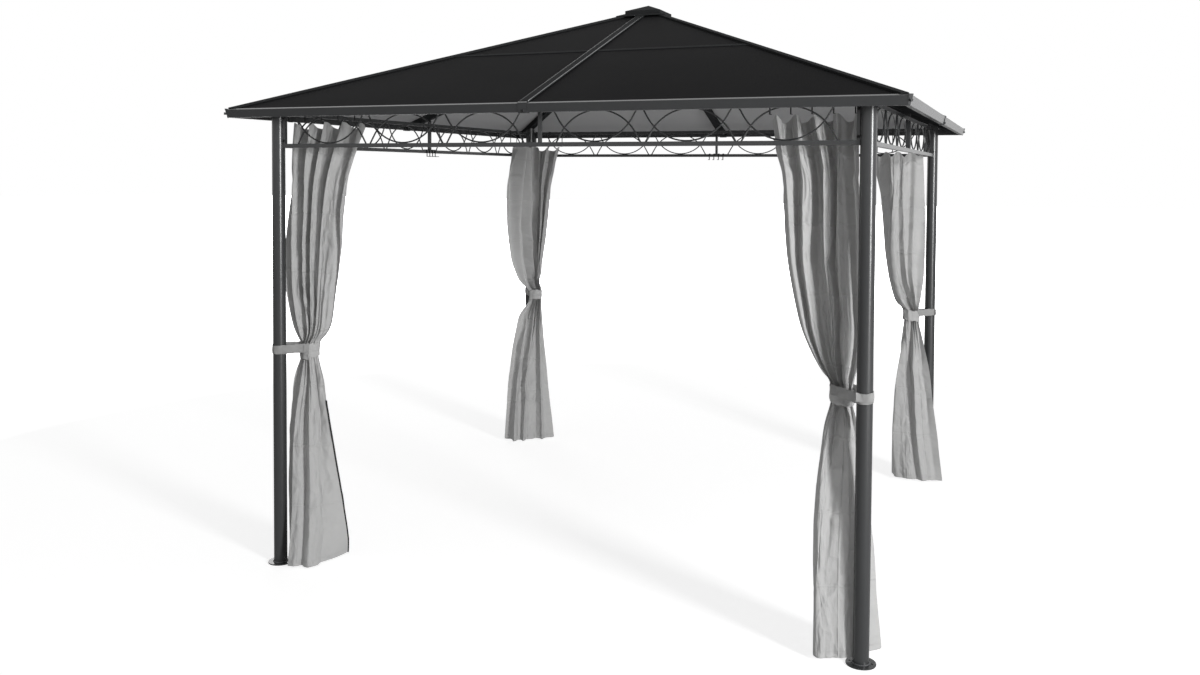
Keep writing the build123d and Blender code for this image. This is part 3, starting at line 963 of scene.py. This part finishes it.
@dataclass
class Fasteners:
    """Button-head screws, weld beads and cover edges, which are too small for the solids."""

    rail_half: float = 9.0
    head_radius: float = 6.5
    head_height: float = 3.6
    socket_radius: float = 2.4
    upright: float = 1291.7
    upright_heights: tuple[float, float] = (1959.0, 2062.0)
    middle_height: float = 2066.0
    joiner_face: float = 1493.6
    joiner_height: float = 2066.0
    joiner_lean: float = 0.25
    beam_back: float = 1469.0
    beam_height: float = 2080.0
    beam_screw: float = 26.0
    cover_half: float = 17.8
    cover_radius: float = 2.0
    roof_peak: float = 2673.0
    roof_slope: float = 0.38743
    cover_height: float = 6.6
    cover_start: float = 132.0
    cover_end: float = 1481.0
    bead_radius: float = 31.4
    bead_size: float = 3.4
    bead_ripples: int = 26
    plate: float = 6.0

    def screw(self, place: Triple, outward: Triple) -> np.ndarray:
        """Points in metres of a button head with a round recess, at a place in millimetres."""
        r, h, hole = self.head_radius, self.head_height, self.socket_radius
        profile = np.array(
            [(r, -0.3), (r, 0.5), (0.93 * r, 1.5), (0.74 * r, 0.72 * h), (0.5 * r, 0.94 * h)]
            + [(hole, h), (hole, 0.45 * h), (0.15, 0.4 * h)]
        )
        turn = np.linspace(0.0, 2 * np.pi, 20, endpoint=False)
        axis = unit(np.array(outward))
        first = unit(np.cross(axis, [0.0, 0.0, 1.0]))
        ring = directions(turn) @ np.stack([first, np.cross(axis, first)])
        points = profile[:, :1, None] * ring[None] + profile[:, 1:, None] * axis
        return (np.array(place) + points) * MM

    def screws(self) -> list[tuple[Triple, Triple]]:
        """Places and directions of all the screws of the front, seen along +Y."""
        front = -POST - self.rail_half
        found = []
        for height in self.upright_heights:
            for x in (-self.upright, self.upright):
                found.append(((x, front, height), (0.0, -1.0, 0.0)))
        found.append(((0.0, -POST + self.rail_half, self.middle_height), (0.0, 1.0, 0.0)))
        found.append(((0.0, -self.joiner_face, self.joiner_height), (0.0, -1.0, -self.joiner_lean)))
        for x in (-self.beam_screw, self.beam_screw):
            found.append(((x, -self.beam_back, self.beam_height), (0.0, 1.0, 0.0)))
        return found

    def bead(self, corner: Corner) -> np.ndarray:
        """Points in metres of the rippled weld bead round the foot of a corner's post."""
        turn = np.linspace(0.0, 2 * np.pi, 156, endpoint=False)[:, None]
        around = np.linspace(np.pi, 3 * np.pi, 9)[None]
        size = self.bead_size * (1 + 0.13 * np.sin(self.bead_ripples * turn))
        radius = self.bead_radius + size * np.cos(around) * 0.8
        z = self.plate + size * np.sin(around) * 0.9
        x = corner.value[0] * POST + radius * np.cos(turn)
        y = corner.value[1] * POST + radius * np.sin(turn)
        return np.stack([x, y, z], axis=-1) * MM

    def cover_edges(self) -> list[np.ndarray]:
        """Rounded edges in metres of the front rafter's cover, two thin rods down the slope."""
        turn = np.linspace(0.0, 2 * np.pi, 12, endpoint=False)
        y = -np.linspace(self.cover_start, self.cover_end, 6)[:, None]
        z = self.roof_peak + self.roof_slope * y + self.cover_height
        rods = []
        for side in (-1, 1):
            x = side * self.cover_half + self.cover_radius * np.cos(turn)[None]
            ring = z + self.cover_radius * np.sin(turn)[None]
            rods.append(np.stack(np.broadcast_arrays(x, y, ring), axis=-1) * MM)
        return rods

    def build(self, finishes: Finishes) -> None:
        """Makes the screws and cover edges on all four sides and the beads on all four feet."""
        heads, edges = [], []
        for quarter in range(4):
            turn = np.linalg.matrix_power(QUARTER_TURN, quarter)
            for place, outward in self.screws():
                points = self.screw(place, outward) @ turn
                heads.append(surface("head", points, finishes.screw, closed=True, capped=True))
            for rod in self.cover_edges():
                # The edges' light tone is a painted highlight; their round rods also catch real
                # highlights.
                coat = finishes.painted_highlight_edge_coat
                edges.append(surface("edge", rod @ turn, coat, closed=True, capped=True))
        beads = [
            surface("bead", self.bead(corner).transpose(1, 0, 2), finishes.weld, closed=True)
            for corner in Corner
        ]
        screws = joined("button_screws", heads)
        beads = joined("foot_weld_beads", beads)
        covers = joined("rafter_cover_edges", edges)
        for piece in (screws, beads, covers):
            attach(piece, "root")
        log.info("%d screws and %d weld beads", len(heads), len(Corner))


def put(name: str, data: Any, turn: np.ndarray, place: Triple) -> Object:
    """Puts a camera or a lamp at a place in metres, turned by a matrix, and returns it."""
    thing = bpy.data.objects.new(name, data)
    matrix = Matrix(turn.tolist()).to_4x4()
    matrix.translation = place
    thing.matrix_world = matrix
    bpy.context.scene.collection.objects.link(thing)
    return thing


@dataclass
class Studio:
    """The pale floor, the light and the camera at the photograph's place."""

    camera_place: Triple = (1.8909, -5.3316, 1.8208)
    yaw: float = -22.343
    pitch: float = 2.1129
    roll: float = -0.3248
    lens: float = 32.065
    shift: Point = (0.0046, -0.1043)
    key_place: Triple = (8.3, -5.2, 2.6)
    key_size: Point = (1.4, 3.4)
    key_power: float = 720.0
    fill_place: Triple = (-7.0, 7.5, 3.0)
    fill_size: Point = (4.0, 3.0)
    fill_power: float = 100.0
    fill_gloss: float = 0.2
    aim: float = 1.2
    sky: float = 0.33
    floor_half: float = 60.0
    floor_drop: float = 0.0005
    floor_glow: float = 4.65
    floor_share: float = 0.15
    floor_fade: Point = (4.5, 11.0)

    def camera(self) -> None:
        """Places the camera, level line and lens as fitted to the photograph."""
        yaw, pitch, roll = (math.radians(a) for a in (self.yaw, self.pitch, self.roll))
        forward = np.array(
            [math.sin(yaw) * math.cos(pitch), math.cos(yaw) * math.cos(pitch), -math.sin(pitch)]
        )
        level = np.array([math.cos(yaw), -math.sin(yaw), 0.0])
        down = np.cross(forward, level)
        right = math.cos(roll) * level + math.sin(roll) * down
        low = -math.sin(roll) * level + math.cos(roll) * down
        turn = np.stack([right, -low, -forward], axis=1)
        data = bpy.data.cameras.new("camera")
        data.sensor_width = 36.0
        data.lens = self.lens
        data.shift_x, data.shift_y = self.shift
        data.clip_end = 200.0
        bpy.context.scene.camera = put("camera", data, turn, self.camera_place)

    def lamp(self, name: str, place: Triple, size: Point, power: float, gloss: float) -> None:
        """Places a large soft lamp that faces the middle of the gazebo.

        Args:
            name: Its name.
            place: Its place in metres.
            size: Its width and height in metres.
            power: Its power in watts.
            gloss: How strongly it shows in glossy surfaces, from 0 to 1.
        """
        data = bpy.data.lights.new(name, "AREA")
        data.shape = "RECTANGLE"
        data.size, data.size_y = size
        data.energy = power
        data.specular_factor = gloss
        away = unit(np.array(place) - np.array([0.0, 0.0, self.aim]))
        side = unit(np.cross([0.0, 0.0, 1.0], away))
        put(name, data, np.stack([side, np.cross(away, side), away], axis=1), place)

    def world(self) -> None:
        """Makes the even sky, white where the camera or a gloss sees it."""
        world = bpy.data.worlds.new("studio")
        world.use_nodes = True
        tree = world.node_tree
        tree.nodes.clear()
        ray = add_node(tree, "LightPath").outputs
        seen = ray["Is Camera Ray"]
        for kind in ("Is Glossy Ray", "Is Transmission Ray"):
            seen = maths(tree, "MAXIMUM", seen, ray[kind])
        dim = add_node(tree, "Background", {0: WHITE, 1: self.sky})
        white = add_node(tree, "Background", {0: WHITE, 1: 1.0})
        mixed = add_node(tree, "MixShader", {0: seen, 1: dim.outputs[0], 2: white.outputs[0]})
        add_node(tree, "OutputWorld", {0: mixed.outputs[0]})
        bpy.context.scene.world = world

    def floor(self) -> None:
        """Lays the pale floor, which shows nearly white and keeps the soft shadows."""
        material, tree = new_material("pale_floor")
        place = add_node(tree, "TexCoord").outputs["Object"]
        far = add_node(tree, "VectorMath", {0: place}, operation="LENGTH").outputs["Value"]
        fade = ranged(tree, far, *self.floor_fade, self.floor_share, 1.0)
        seen = add_node(tree, "LightPath").outputs["Is Camera Ray"]
        matt = add_node(tree, "BsdfDiffuse", {"Color": linear("#e6e6e6")})
        white = add_node(tree, "Emission", {"Color": WHITE, "Strength": self.floor_glow})
        both = {0: maths(tree, "MULTIPLY", seen, fade), 1: matt.outputs[0], 2: white.outputs[0]}
        shaded(material, add_node(tree, "MixShader", both))
        side = np.array([-self.floor_half, self.floor_half])
        x, y = np.meshgrid(side, side)
        points = np.stack([x, y, np.full_like(x, -self.floor_drop)], axis=-1)
        surface("floor", points, material)

    def build(self) -> None:
        """Sets up the whole studio."""
        scene = bpy.context.scene
        scene.view_settings.view_transform = "Standard"
        self.camera()
        self.lamp("key", self.key_place, self.key_size, self.key_power, 1.0)
        self.lamp("fill", self.fill_place, self.fill_size, self.fill_power, self.fill_gloss)
        self.world()
        self.floor()
        log.info("studio ready")


def curtains() -> list[Curtain]:
    """The four curtains, each gathered as it hangs in its own corner."""
    return [
        Curtain(
            Corner.FRONT_RIGHT, hooks=(25, 105, 185, 265, 345), seed=3, hem_folds=1.6, hem_swing=6.0
        ),
        Curtain(
            Corner.FRONT_LEFT,
            hooks=(23, 113, 203, 293, 383),
            seed=8,
            hem_folds=2.4,
            hem_swing=22.0,
            tape_top=760.0,
        ),
        Curtain(
            Corner.BACK_RIGHT,
            hooks=(23, 113, 203, 293),
            seed=12,
            hem_folds=2.0,
            pleat_swing=10.0,
            hem_swing=22.0,
        ),
        Curtain(Corner.BACK_LEFT, hooks=(23, 112, 190, 300, 400, 490), seed=21),
    ]


def main() -> None:
    """Builds and dresses everything in order, and reports each piece."""
    logging.basicConfig(level=logging.INFO, format="%(name)s: %(message)s")
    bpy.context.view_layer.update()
    Studio().build()
    finishes = Finishes()
    finishes.dress(frame["nodes"])
    for curtain in curtains():
        cloth = curtain.build(finishes)
        tie = TieBack(curtain.corner, cloth, finishes)
        tie.band()
        tie.loop()
        tie.end()
    Fasteners().build(finishes)


if __name__ == "__main__":
    main()
